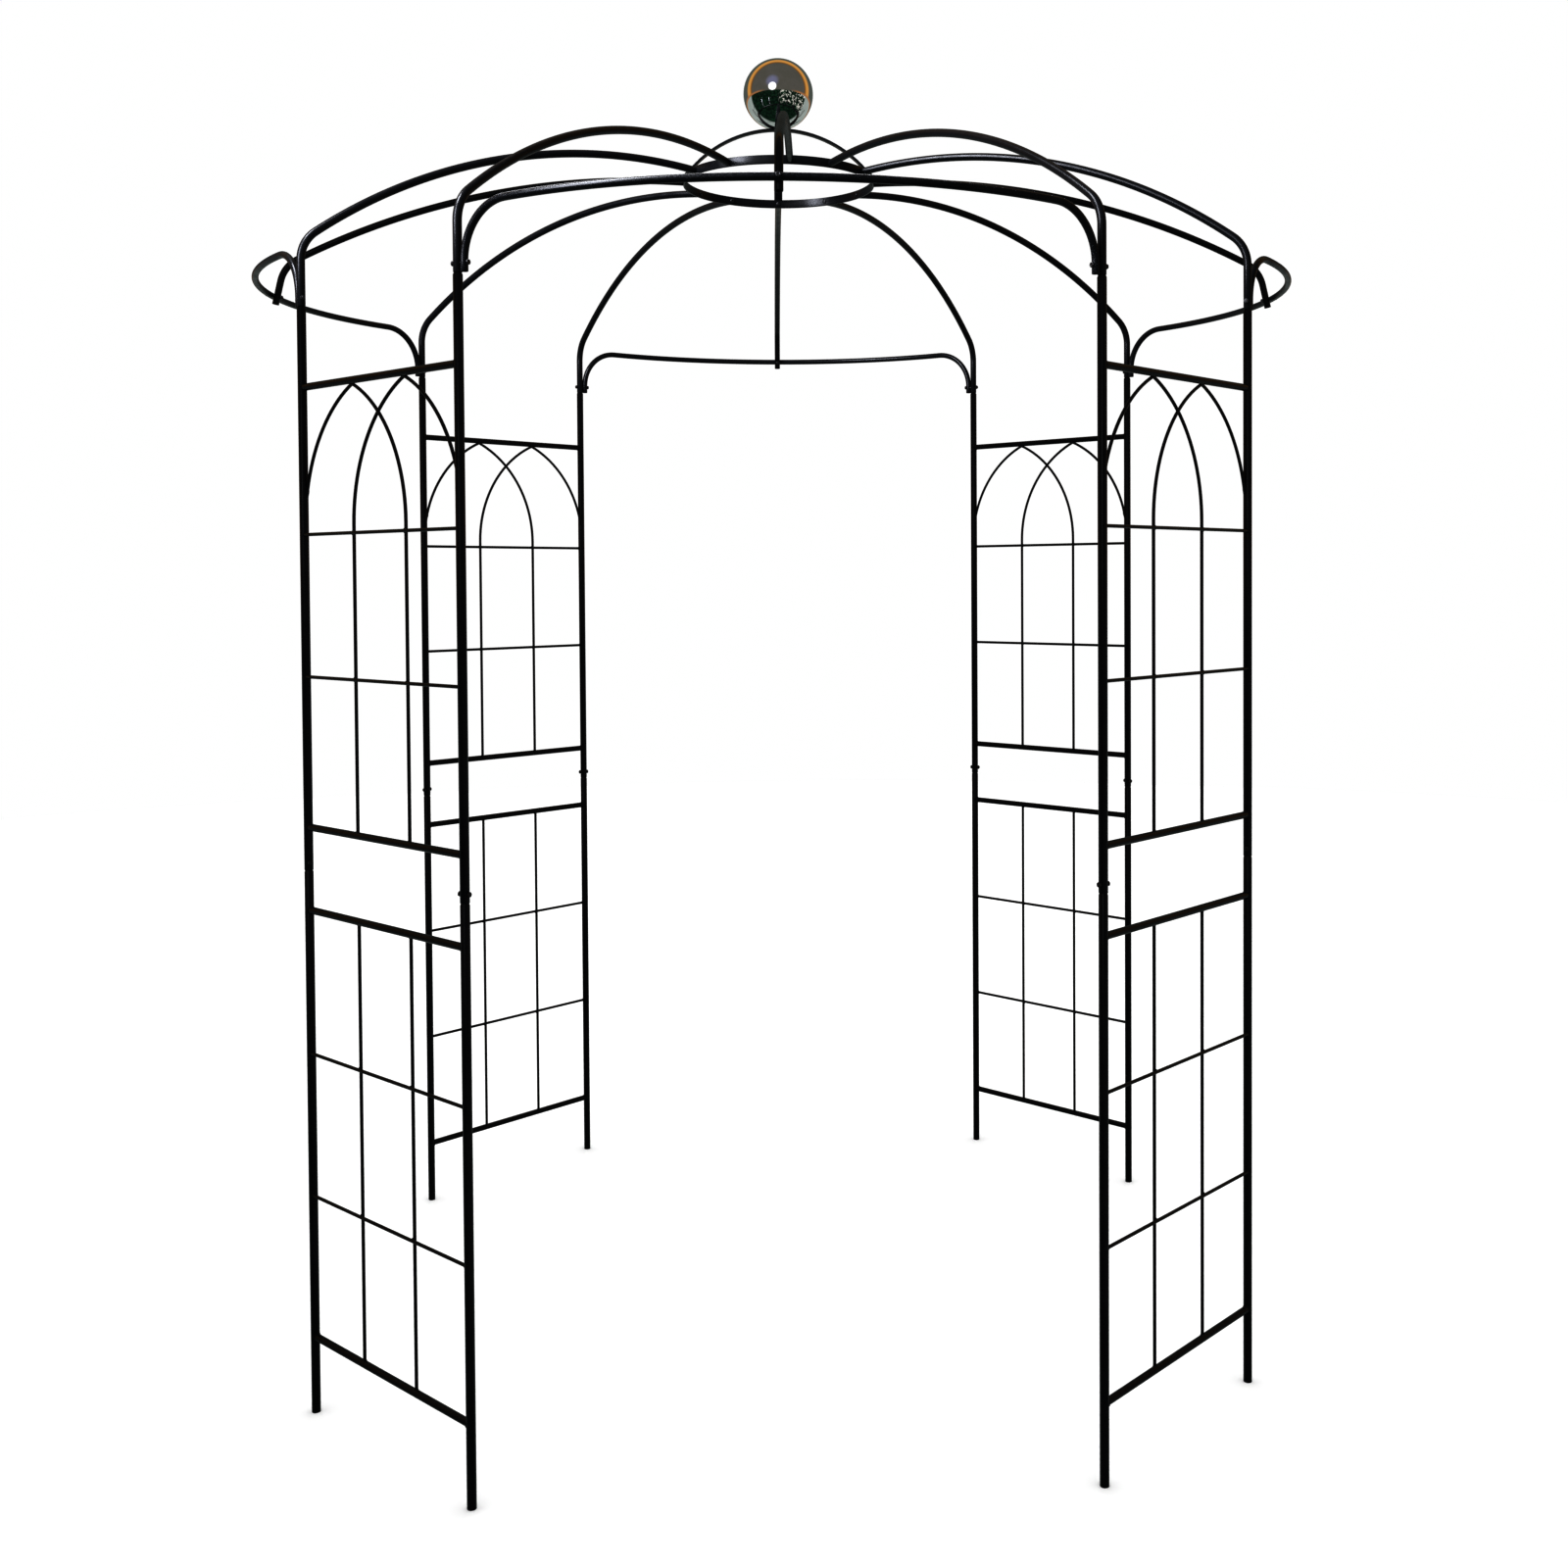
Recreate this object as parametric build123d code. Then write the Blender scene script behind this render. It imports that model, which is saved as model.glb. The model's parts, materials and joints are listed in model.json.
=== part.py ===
"""Domed rose pavilion: four ladder panels, four bowed rims, twelve roof ribs, a ring, two hoops and a ball.

Millimetres, +Z up. The origin is on the ground at the centre of the plan, and the front doorway
faces -Y. The plan repeats four times about +Z, so most parts are drawn once, facing the front,
and turned to their side or corner.
"""

from build123d import *
import os
from math import acos, atan2, cos, degrees, radians, sin, sqrt

# ---- plan -----------------------------------------------------------------------------------
OPENING = 1060.0                # doorway, centre to centre of its two posts
PANEL_WIDTH = 490.0             # ladder panel, centre to centre of its two posts
PANEL_HALF = PANEL_WIDTH / 2
POST_FRONT = OPENING / 2 + PANEL_WIDTH / sqrt(2)    # doorway plane to the centre of the plan
POST_REACH = sqrt((OPENING / 2) ** 2 + POST_FRONT**2)
POST_ANGLE = degrees(atan2(OPENING / 2, POST_FRONT))
PANEL_REACH = sqrt(POST_REACH**2 - PANEL_HALF**2)   # panel plane to the centre of the plan

SIDES = {"front": 0, "right": 90, "back": 180, "left": -90}
CORNERS = {"front_right": 45, "back_right": 135, "back_left": -135, "front_left": -45}
POST_NAMES = {
    "front": ("front_left", "front_right"),
    "right": ("right_front", "right_back"),
    "back": ("back_right", "back_left"),
    "left": ("left_back", "left_front"),
}

# ---- stock ----------------------------------------------------------------------------------
POST_R = 8.0                    # 16 mm round tube
POST_RIB_R = 7.5                # 15 mm round tube
CENTRE_RIB_R = 7.0              # 14 mm round tube
BAR_R = 6.5                     # 13 mm round tube: panel crossbars and rims
ROD_R = 3.0                     # 6 mm solid rod
WALL = 1.2
STRAP_WIDTH = 18.0              # flat bar of the crown
STRAP_THICKNESS = 4.0

# ---- heights --------------------------------------------------------------------------------
MID_JOINT_Z = 1009.0            # lower edge of the upper posts
TOP_JOINT_Z = 2042.0            # lower edge of the ribs and of the rims' turned-down ends
BOLT_ABOVE_JOINT = 14.5
LOWER_BARS_Z = (141.0, 935.0)
LOWER_RODS_Z = (406.0, 670.0)
UPPER_BARS_Z = (1088.0, 1894.0)
UPPER_RODS_Z = (1365.0, 1625.0)
SPRINGING_Z = 1640.0            # where the pointed arches begin
RIM_Z = 2151.0
RING_Z = 2397.0
HOOP_APEX_Z = 2509.0            # between the two crossed hoops

# ---- post joints ----------------------------------------------------------------------------
SPIGOT_LENGTH = 32.0
SPIGOT_TAPER = 4.0
SPIGOT_CLEARANCE = 0.1

# ---- panel filling --------------------------------------------------------------------------
ROD_X = (-PANEL_WIDTH / 6, PANEL_WIDTH / 6)
ROD_OFFSET = ROD_R - 0.15       # upright rods inside, level rods outside, pressed 0.3 mm together
ROD_GAP = 0.05                  # where the left arch's rod is cut to let the right one through
ARCH_RADIUS = 270.0
ARCH_APEX = degrees(acos((ARCH_RADIUS - PANEL_WIDTH / 3) / ARCH_RADIUS))
ARCH_OVERRUN = 1.1              # arcs are drawn this much longer, then cut off at the arch's point

# ---- rims -----------------------------------------------------------------------------------
RIM_END_ANGLE = 36.5            # between the doorway plane and each end of the bow
RIM_BEND_R = 92.0
STUB_OFFSET = POST_RIB_R + BAR_R

# ---- ribs, ring and crown ---------------------------------------------------------------------
RING_R = 206.0                  # outer face of the ring
RIB_BEND_R = 70.0
POST_RIB_ARC_R = 1100.0
POST_RIB_ARC_REACH = 332.0      # from the centre of the plan to the centre of the arc
CENTRE_RIB_ARC_R = 1622.0
CENTRE_RIB_ARC_REACH = 301.0
CENTRE_RIB_LEAN = 13.0
CENTRE_RIB_TAIL = 17.0          # along the rib, from the rim's axis down to the rib's open end
FRONT_RIB_SKEW = -1.9           # the front centre rib stands a little askew
FRONT_RIB_PIVOT = 840.0
PLUG_LENGTH = 18.0
PLUG_CLEARANCE = 0.25
BALL_R = 75.0
BALL_WALL = 1.0
BOSS_R = 12.0
BOSS_LENGTH = 14.0
BOSS_SINK = 0.8                 # flat pressed into the bottom of the ball

# ---- fasteners ------------------------------------------------------------------------------
BOLT_R = 2.45
THREAD_R = 2.5
HOLE_R = 2.7
HEX_FLATS = 8.0
BOLT_HEAD = 3.5
NUT_HEIGHT = 4.0
BOLT_PAST_NUT = 1.5
SEAT_GAP = 0.1                  # under a flat head or strap that meets a curved face
RIM_SEAT_GAP = 0.3              # under the heads on the rims, which the askew rib tilts a little
BUTTON_R = 4.7
BUTTON_HEIGHT = 2.6
BUTTON_ROUND = 1.8
SCREW_LENGTH = 16.0
BALL_BOLT_R = 3.0
BALL_THREAD_R = 3.05
BALL_HOLE_R = 3.2
BALL_BOLT_LENGTH = 16.0
BALL_HEX_FLATS = 10.0
BALL_HEAD = 4.0

BASE = (Align.CENTER, Align.CENTER, Align.MIN)
RADIAL = Plane(origin=(0, 0, 0), x_dir=(0, -1, 0), z_dir=(-1, 0, 0))    # x is reach, y is height


def turn(angle):
    """Placement of a part drawn facing the front, turned about the centre of the plan."""
    return Rot(0, 0, angle)


def cylinder(start, end, radius):
    """Solid cylinder between two points."""
    axis = Vector(*end) - Vector(*start)
    return Plane(origin=start, z_dir=axis) * Cylinder(radius, axis.length, align=BASE)


def swept(path, radius, wall=None):
    """Round bar along a path, or a tube of the given wall."""
    section = Circle(radius)
    if wall:
        section -= Circle(radius - wall)
    return sweep(Plane(origin=path @ 0, z_dir=path % 0) * section, path=path)


def group(solids):
    """Separate solids kept together in one node."""
    return Compound(children=[solid for part in solids for solid in part.solids()])


# ---- posts and panels -----------------------------------------------------------------------
def post_axes():
    """Foot of each of a panel's two posts, in the panel's own frame."""
    return [(-PANEL_HALF, -PANEL_REACH), (PANEL_HALF, -PANEL_REACH)]


def post_tube(bottom, top, mating_r):
    """Upright tube whose swaged top fits inside a tube of outer radius mating_r."""
    outer = mating_r - WALL - SPIGOT_CLEARANCE
    tip = top + SPIGOT_LENGTH
    profile = Polyline(
        (POST_R - WALL, bottom),
        (POST_R, bottom),
        (POST_R, top - SPIGOT_TAPER),
        (outer, top),
        (outer, tip),
        (outer - WALL, tip),
        (outer - WALL, top),
        (POST_R - WALL, top - SPIGOT_TAPER),
        close=True,
    )
    return revolve(Plane.XZ * make_face(profile), Axis.Z)


def doorway_side(x):
    """Direction of the bolts at a post, square to its reach and pointing towards its doorway."""
    side = 1 if x > 0 else -1
    return Vector(side * PANEL_REACH, PANEL_HALF, 0) / POST_REACH


def joint_hole(x, y, z):
    """Cutter through a post and anything bolted beside it."""
    centre = Vector(x, y, z)
    half = 2 * STUB_OFFSET * doorway_side(x)
    return cylinder(centre - half, centre + half, HOLE_R)


def lower_posts():
    tube = post_tube(0, MID_JOINT_Z, POST_R)
    hole_z = MID_JOINT_Z + BOLT_ABOVE_JOINT
    return [Pos(x, y, 0) * tube - joint_hole(x, y, hole_z) for x, y in post_axes()]


def upper_posts():
    tube = post_tube(MID_JOINT_Z, TOP_JOINT_Z, POST_RIB_R)
    posts = []
    for x, y in post_axes():
        post = Pos(x, y, 0) * tube
        for joint_z in (MID_JOINT_Z, TOP_JOINT_Z):
            post -= joint_hole(x, y, joint_z + BOLT_ABOVE_JOINT)
        posts.append(post)
    return posts


def post_cutters(bottom, top):
    return [cylinder((x, y, bottom), (x, y, top), POST_R) for x, y in post_axes()]


def level(z, offset, radius):
    """Full-width level cylinder across a panel, at a height and an offset towards the inside."""
    y = -PANEL_REACH + offset
    return cylinder((-PANEL_HALF, y, z), (PANEL_HALF, y, z), radius)


def crossbars(heights):
    """Tubes coped to the posts at both ends."""
    bars = []
    for z in heights:
        bar = level(z, 0, BAR_R) - level(z, 0, BAR_R - WALL)
        for post in post_cutters(z - 2 * POST_R, z + 2 * POST_R):
            bar -= post
        bars.append(bar)
    return bars


def level_rods(heights):
    """Rods from post to post, on the outer side of the upright rods."""
    rods = []
    for z in heights:
        rod = level(z, -ROD_OFFSET, ROD_R)
        for post in post_cutters(z - 2 * POST_R, z + 2 * POST_R):
            rod -= post
        rods.append(rod)
    return rods


def trimmed(rods, cutters):
    """Rods with the space of other bars and rods taken out of them."""
    results = []
    for rod in rods:
        for cutter in cutters:
            rod -= cutter
        results.append(rod)
    return results


def lower_rods():
    low, high = LOWER_BARS_Z
    y = -PANEL_REACH + ROD_OFFSET
    across = level_rods(LOWER_RODS_Z)
    upright = [cylinder((x, y, low), (x, y, high), ROD_R) for x in ROD_X]
    bars = [level(z, 0, BAR_R) for z in LOWER_BARS_Z]
    return across + trimmed(upright, across + bars)


def arch_leg(x, radius=ROD_R):
    """Rod that rises from the lower crossbar and curves over the middle to the far arch's point."""
    side = 1 if x > 0 else -1
    turned = side * ARCH_OVERRUN * ARCH_APEX
    rise = Line((x, UPPER_BARS_Z[0]), (x, SPRINGING_Z))
    bow = JernArc(start=rise @ 1, tangent=rise % 1, radius=ARCH_RADIUS, arc_size=turned)
    plane = Plane(origin=(0, -PANEL_REACH + ROD_OFFSET, 0), x_dir=(1, 0, 0), z_dir=(0, -1, 0))
    rod = swept(plane * Wire([rise, bow]), radius)
    keep = Keep.TOP if side > 0 else Keep.BOTTOM
    return split(rod, bisect_by=Plane.YZ.offset(x - side * PANEL_WIDTH / 3), keep=keep)


def arch_haunch(side):
    """Rod that springs from a post and meets the other post's arch leg under the top crossbar."""
    turned = side * ARCH_OVERRUN * ARCH_APEX
    start = (side * PANEL_HALF, SPRINGING_Z)
    bow = JernArc(start=start, tangent=(0, 1), radius=ARCH_RADIUS, arc_size=turned)
    plane = Plane(origin=(0, -PANEL_REACH + ROD_OFFSET, 0), x_dir=(1, 0, 0), z_dir=(0, -1, 0))
    rod = swept(plane * Wire([bow]), ROD_R)
    keep = Keep.TOP if side > 0 else Keep.BOTTOM
    return split(rod, bisect_by=Plane.YZ.offset(side * PANEL_WIDTH / 6), keep=keep)


def upper_rods():
    across = level_rods(UPPER_RODS_Z)
    bars = [level(z, 0, BAR_R) for z in UPPER_BARS_Z]
    posts = post_cutters(SPRINGING_Z - POST_R, SPRINGING_Z + ARCH_RADIUS)
    left_leg, right_leg = [arch_leg(x) for x in ROD_X]
    haunches = [arch_haunch(side) for side in (-1, 1)]
    shaped = trimmed([right_leg], across + bars)
    shaped += trimmed([left_leg], across + bars + [arch_leg(ROD_X[1], ROD_R + ROD_GAP)])
    shaped += trimmed(haunches, bars + posts)
    return across + shaped


# ---- rims -----------------------------------------------------------------------------------
def rim_stub():
    """Axis of the rim's turned-down right end, which stands beside the post."""
    angle = radians(POST_ANGLE)
    return OPENING / 2 - STUB_OFFSET * cos(angle), -POST_FRONT - STUB_OFFSET * sin(angle)


def rim_path():
    """Foot beside one post, bend, level bow, bend, and foot beside the doorway's other post."""
    x, y = rim_stub()
    heading = radians(RIM_END_ANGLE)
    low = RIM_Z - RIM_BEND_R
    bow_x = x - RIM_BEND_R * cos(heading)
    bow_y = y - RIM_BEND_R * sin(heading)
    mid_x = x - RIM_BEND_R * (1 - cos(radians(45))) * cos(heading)
    mid_y = y - RIM_BEND_R * (1 - cos(radians(45))) * sin(heading)
    mid_z = low + RIM_BEND_R * sin(radians(45))
    edges = [Line((-x, y, TOP_JOINT_Z), (-x, y, low))]
    edges.append(ThreePointArc((-x, y, low), (-mid_x, mid_y, mid_z), (-bow_x, bow_y, RIM_Z)))
    edges.append(ThreePointArc((-bow_x, bow_y, RIM_Z), (0, -rim_reach(), RIM_Z), (bow_x, bow_y, RIM_Z)))
    edges.append(ThreePointArc((bow_x, bow_y, RIM_Z), (mid_x, mid_y, mid_z), (x, y, low)))
    edges.append(Line((x, y, low), (x, y, TOP_JOINT_Z)))
    return Wire(edges)


def rim_reach():
    """Middle of the bow to the centre of the plan."""
    x, y = rim_stub()
    heading = radians(RIM_END_ANGLE)
    bow_radius = (x - RIM_BEND_R * cos(heading)) / sin(heading)
    return -y + RIM_BEND_R * sin(heading) + bow_radius * (1 - cos(heading))


def rim(side):
    tube = turn(SIDES[side]) * swept(rim_path(), BAR_R, WALL)
    for corner in CORNERS.values():
        for x, y in post_axes():
            tube -= turn(corner) * joint_hole(x, y, TOP_JOINT_Z + BOLT_ABOVE_JOINT)
    return tube - centre_rib_place(side) * rim_bolt_hole()


# ---- ribs -----------------------------------------------------------------------------------
def rib_path(foot, lean, arc_reach, arc_radius):
    """Leaning foot, small bend and long arc that ends just inside the ring's outer face."""
    end_reach = RING_R - STRAP_THICKNESS
    arc_z = RING_Z - sqrt(arc_radius**2 - (RING_R - arc_reach) ** 2)
    along = (-sin(radians(lean)), cos(radians(lean)))
    inward = (-cos(radians(lean)), -sin(radians(lean)))
    from_x = foot[0] + RIB_BEND_R * inward[0] - arc_reach
    from_y = foot[1] + RIB_BEND_R * inward[1] - arc_z
    half = from_x * along[0] + from_y * along[1]
    rest = from_x**2 + from_y**2 - (arc_radius - RIB_BEND_R) ** 2
    straight = -half + sqrt(half**2 - rest)
    meet = degrees(atan2(from_y + straight * along[1], from_x + straight * along[0]))
    finish = degrees(acos((end_reach - arc_reach) / arc_radius))
    top = (foot[0] + straight * along[0], foot[1] + straight * along[1])
    leg = Line(foot, top)
    bend = JernArc(start=leg @ 1, tangent=leg % 1, radius=RIB_BEND_R, arc_size=meet - lean)
    bow = JernArc(start=bend @ 1, tangent=bend % 1, radius=arc_radius, arc_size=finish - meet)
    return RADIAL * Wire([leg, bend, bow])


def post_rib_path():
    return rib_path((POST_REACH, TOP_JOINT_Z), 0, POST_RIB_ARC_REACH, POST_RIB_ARC_R)


def centre_rib_contact():
    """Point of the centre rib's axis level with the rim, a tube radius of each away from it."""
    gap = BAR_R + CENTRE_RIB_R
    lean = radians(CENTRE_RIB_LEAN)
    return rim_reach() - gap * cos(lean), RIM_Z - gap * sin(lean)


def centre_rib_path():
    reach, z = centre_rib_contact()
    lean = radians(CENTRE_RIB_LEAN)
    foot = (reach + CENTRE_RIB_TAIL * sin(lean), z - CENTRE_RIB_TAIL * cos(lean))
    return rib_path(foot, CENTRE_RIB_LEAN, CENTRE_RIB_ARC_REACH, CENTRE_RIB_ARC_R)


def centre_rib_place(side):
    """Placement of a centre rib and its fasteners; the front one is askew."""
    if side != "front":
        return turn(SIDES[side])
    return Pos(0, -FRONT_RIB_PIVOT, 0) * Rot(0, 0, FRONT_RIB_SKEW) * Pos(0, FRONT_RIB_PIVOT, 0)


def ring_body():
    """Disc that trims rib ends and plugs to the ring's outer face."""
    return Pos(0, 0, RING_Z) * Cylinder(RING_R, 3 * STRAP_WIDTH)


def rim_bolt_axis():
    """Start and direction of the bolt through rim and centre rib, from the outside inwards."""
    lean = radians(CENTRE_RIB_LEAN)
    inward = Vector(0, cos(lean), -sin(lean))
    return Vector(0, -rim_reach(), RIM_Z) - (BAR_R + RIM_SEAT_GAP) * inward, inward


def rim_bolt_hole():
    start, inward = rim_bolt_axis()
    return cylinder(start - BAR_R * inward, start + 2 * (BAR_R + POST_R) * inward, HOLE_R)


def rib_places():
    """Name, path, tube radius and placement of all twelve ribs."""
    places = []
    for side, ends in POST_NAMES.items():
        for angle, name in zip((-POST_ANGLE, POST_ANGLE), ends):
            place = turn(SIDES[side] + angle)
            places.append(("post_rib_" + name, post_rib_path(), POST_RIB_R, place))
        place = centre_rib_place(side)
        places.append(("centre_rib_" + side, centre_rib_path(), CENTRE_RIB_R, place))
    return places


def make_rib(name, path, radius, place):
    tube = place * swept(path, radius, WALL) - ring_body()
    if name.startswith("centre_rib"):
        return tube - place * rim_bolt_hole()
    for corner in CORNERS.values():
        for x, y in post_axes():
            tube -= turn(corner) * joint_hole(x, y, TOP_JOINT_Z + BOLT_ABOVE_JOINT)
    return tube


def screw_place(path, place):
    """Placement that points a part drawn facing the front at a rib's end on the ring."""
    end = (place * Pos(path @ 1)).position
    return turn(degrees(atan2(end.X, -end.Y)))


def rib_plug(path, radius, place):
    """Threaded plug in the rib's open end, bored for the ring's screw."""
    end = path @ 1
    plug = place * cylinder(end, end - PLUG_LENGTH * (path % 1), radius - WALL - PLUG_CLEARANCE)
    bore = cylinder((0, 0, RING_Z), (0, -RING_R - PLUG_LENGTH, RING_Z), THREAD_R)
    return plug - ring_body() - screw_place(path, place) * bore


# ---- crown ----------------------------------------------------------------------------------
def ring():
    """Flat bar bent into a ring, drilled for the twelve ribs' screws."""
    inner = RING_R - STRAP_THICKNESS
    strap = Pos(0, 0, RING_Z) * (Cylinder(RING_R, STRAP_WIDTH) - Cylinder(inner, STRAP_WIDTH))
    hole = cylinder((0, 0, RING_Z), (0, -RING_R - STRAP_THICKNESS, RING_Z), HOLE_R)
    for _, path, _, place in rib_places():
        strap -= screw_place(path, place) * hole
    return strap


def hoop(apex_z, angle):
    """Strap bowed from one side of the ring's top edge to the other, holed at its crown."""
    foot_z = RING_Z + STRAP_WIDTH / 2
    reach = RING_R - STRAP_THICKNESS / 2
    rise = apex_z - foot_z
    radius = (reach**2 + rise**2) / (2 * rise)
    plane = Plane(origin=(0, 0, apex_z - radius), x_dir=(1, 0, 0), z_dir=(0, -1, 0))
    section = Circle(radius + STRAP_THICKNESS / 2) - Circle(radius - STRAP_THICKNESS / 2)
    strap = extrude(plane * section, amount=STRAP_WIDTH / 2, both=True)
    strap = split(strap, bisect_by=Plane.XY.offset(foot_z), keep=Keep.TOP)
    return turn(angle) * (strap - cylinder((0, 0, foot_z), (0, 0, apex_z + BALL_R), BALL_HOLE_R))


def ball():
    """Hollow polished ball, with a round hole at the bottom for its boss."""
    centre = Pos(0, 0, HOOP_APEX_Z + STRAP_THICKNESS + SEAT_GAP + BALL_R - BOSS_SINK)
    shell = centre * (Sphere(BALL_R) - Sphere(BALL_R - BALL_WALL))
    return shell - cylinder((0, 0, HOOP_APEX_Z), (0, 0, HOOP_APEX_Z + BALL_R), BOSS_R)


def ball_boss():
    seat = HOOP_APEX_Z + STRAP_THICKNESS + SEAT_GAP
    body = cylinder((0, 0, seat), (0, 0, seat + BOSS_LENGTH), BOSS_R)
    return body - cylinder((0, 0, seat), (0, 0, seat + BOSS_LENGTH - WALL), BALL_THREAD_R)


# ---- fasteners ------------------------------------------------------------------------------
def hex_bolt(length, radius=BOLT_R, flats=HEX_FLATS, head=BOLT_HEAD):
    """Bolt along +Z, seated at the origin."""
    cap = extrude(RegularPolygon(flats / 2, 6, major_radius=False), amount=head)
    return Cylinder(radius, length, align=BASE) + Pos(0, 0, -head) * cap


def hex_nut():
    return extrude(RegularPolygon(HEX_FLATS / 2, 6, major_radius=False) - Circle(THREAD_R), amount=NUT_HEIGHT)


def button_screw():
    head = Cylinder(BUTTON_R, BUTTON_HEIGHT, align=BASE)
    head = fillet(head.faces().sort_by(Axis.Z)[-1].edges(), BUTTON_ROUND)
    return Cylinder(BOLT_R, SCREW_LENGTH, align=BASE) + Rot(180, 0, 0) * head


def joint_fasteners(joint_z, stack, near):
    """Bolts and nuts of every post joint, pushed in from the doorway side of each post."""
    z = joint_z + BOLT_ABOVE_JOINT
    bolts = []
    nuts = []
    for corner in CORNERS.values():
        for x, y in post_axes():
            way = doorway_side(x)
            seat = Plane(origin=Vector(x, y, z) + near * way, z_dir=-way)
            bolts.append(turn(corner) * (seat * hex_bolt(stack + NUT_HEIGHT + BOLT_PAST_NUT)))
            nuts.append(turn(corner) * (seat * Pos(0, 0, stack) * hex_nut()))
    return bolts, nuts


def rim_rib_fasteners():
    stack = 2 * BAR_R + 2 * CENTRE_RIB_R + RIM_SEAT_GAP + SEAT_GAP
    start, inward = rim_bolt_axis()
    seat = Plane(origin=start, z_dir=inward)
    bolts = []
    nuts = []
    for side in SIDES:
        place = centre_rib_place(side)
        bolts.append(place * (seat * hex_bolt(stack + NUT_HEIGHT + BOLT_PAST_NUT)))
        nuts.append(place * (seat * Pos(0, 0, stack) * hex_nut()))
    return bolts, nuts


def ring_screws():
    """Button screws seated on the ring's inner face, each reaching into a rib's end plug."""
    seat = Plane(origin=(0, STRAP_THICKNESS + SEAT_GAP - RING_R, RING_Z), z_dir=(0, -1, 0))
    screw = seat * button_screw()
    return [screw_place(path, place) * screw for _, path, _, place in rib_places()]


# ---- assembly -------------------------------------------------------------------------------
def assembly():
    """Every sub-part by node name, as a list of separate solids."""
    nodes = {}
    panel = {
        "lower_posts_": lower_posts(),
        "lower_crossbars_": crossbars(LOWER_BARS_Z),
        "lower_rods_": lower_rods(),
        "upper_posts_": upper_posts(),
        "upper_crossbars_": crossbars(UPPER_BARS_Z),
        "upper_rods_": upper_rods(),
    }
    for corner, angle in CORNERS.items():
        for prefix, solids in panel.items():
            nodes[prefix + corner] = [turn(angle) * solid for solid in solids]
    for side in SIDES:
        nodes["rim_" + side] = [rim(side)]
    for name, path, radius, place in rib_places():
        nodes[name] = [make_rib(name, path, radius, place)]
    nodes["rib_end_plugs"] = [rib_plug(*rib[1:]) for rib in rib_places()]
    nodes["crown_ring"] = [ring()]
    nodes["crown_hoop_upper"] = [hoop(HOOP_APEX_Z + STRAP_THICKNESS / 2 + SEAT_GAP, 0)]
    nodes["crown_hoop_lower"] = [hoop(HOOP_APEX_Z - STRAP_THICKNESS / 2 - SEAT_GAP, 90)]
    nodes["ball"] = [ball()]
    nodes["ball_boss"] = [ball_boss()]
    bolt = hex_bolt(BALL_BOLT_LENGTH, BALL_BOLT_R, BALL_HEX_FLATS, BALL_HEAD)
    nodes["ball_bolt"] = [Pos(0, 0, HOOP_APEX_Z - STRAP_THICKNESS - 2 * SEAT_GAP) * bolt]
    mid = joint_fasteners(MID_JOINT_Z, 2 * POST_R, POST_R)
    top_stack = 2 * STUB_OFFSET + SEAT_GAP
    top = joint_fasteners(TOP_JOINT_Z, top_stack, STUB_OFFSET + BAR_R + SEAT_GAP)
    nodes["mid_joint_bolts"], nodes["mid_joint_nuts"] = mid
    nodes["top_joint_bolts"], nodes["top_joint_nuts"] = top
    nodes["rim_rib_bolts"], nodes["rim_rib_nuts"] = rim_rib_fasteners()
    nodes["ring_screws"] = ring_screws()
    return nodes


os.makedirs("parts", exist_ok=True)
for name, solids in assembly().items():
    export_step(group(solids), os.path.join("parts", name + ".step"))
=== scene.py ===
"""Looks of the domed rose pavilion: tubes, welds, fasteners, mirror ball, finishes, light and camera.

Metres, in the frame's own axes. Every tube, rod and strap is skinned again at a finer pitch than
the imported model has, along the same lines and at the same sizes.
"""

import bpy
import json
import random
from math import acos, atan2, ceil, cos, degrees, pi, radians, sin, sqrt
from mathutils import Matrix, Vector, noise

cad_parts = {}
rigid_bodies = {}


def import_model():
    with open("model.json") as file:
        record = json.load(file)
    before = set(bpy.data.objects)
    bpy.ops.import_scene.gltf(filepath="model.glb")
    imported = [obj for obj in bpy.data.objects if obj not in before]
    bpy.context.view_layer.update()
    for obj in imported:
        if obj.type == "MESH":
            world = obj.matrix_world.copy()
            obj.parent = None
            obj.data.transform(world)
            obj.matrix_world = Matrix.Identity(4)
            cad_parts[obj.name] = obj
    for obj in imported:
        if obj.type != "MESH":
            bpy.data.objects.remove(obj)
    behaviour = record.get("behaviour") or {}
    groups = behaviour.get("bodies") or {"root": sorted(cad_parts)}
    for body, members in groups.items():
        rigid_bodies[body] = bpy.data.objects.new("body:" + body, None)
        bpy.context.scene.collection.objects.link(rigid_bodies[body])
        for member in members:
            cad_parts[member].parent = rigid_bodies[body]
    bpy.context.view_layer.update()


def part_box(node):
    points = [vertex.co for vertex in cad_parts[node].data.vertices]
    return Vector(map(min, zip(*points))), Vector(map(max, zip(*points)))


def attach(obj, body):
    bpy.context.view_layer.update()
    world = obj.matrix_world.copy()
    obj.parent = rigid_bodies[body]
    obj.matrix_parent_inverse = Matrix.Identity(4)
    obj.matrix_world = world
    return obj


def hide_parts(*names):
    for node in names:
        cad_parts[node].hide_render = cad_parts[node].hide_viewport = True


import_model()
random.seed(11)

UP = Vector((0, 0, 1))
MM = 0.001


def bar_heights(node, radius):
    """Axis heights of the lowest and highest level tube in a node."""
    low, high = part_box(node)
    return low.z + radius, high.z - radius


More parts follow.
